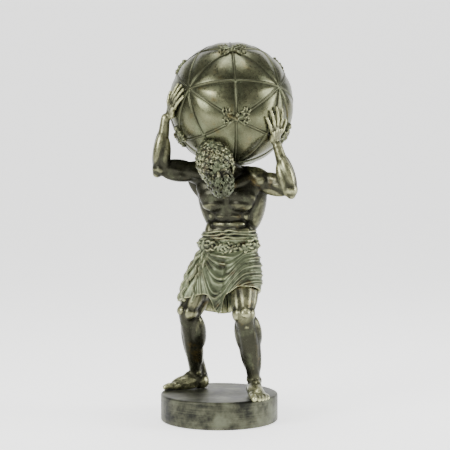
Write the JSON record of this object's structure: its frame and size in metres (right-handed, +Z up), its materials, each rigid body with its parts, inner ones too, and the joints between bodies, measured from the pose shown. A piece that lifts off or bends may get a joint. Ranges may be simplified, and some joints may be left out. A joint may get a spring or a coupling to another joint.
{
  "type": "atlas figurine",
  "caption": "Cast bronze-finish figurine of a bearded, muscular man in a loincloth who carries a netted globe on his shoulders, on a low round plinth.",
  "frame": {"origin": "centre of the plinth's flat underside", "axes": "+Z up, -Y towards the figurine's front, +X to the right seen from the front"},
  "size_m": [0.1133, 0.1095, 0.2991],
  "materials": {
    "plinth_bronze": "grey-olive patinated bronze coat, worn",
    "figure_bronze": "dark olive patinated bronze coat, golden where rubbed, green-grey on hair and cloth",
    "globe_bronze": "dark olive patinated bronze coat, rubbed panels"
  },
  "bodies": {
    "root": {"plinth": "plinth_bronze", "atlas_figure": "figure_bronze", "globe": "globe_bronze"}
  },
  "joints": []
}
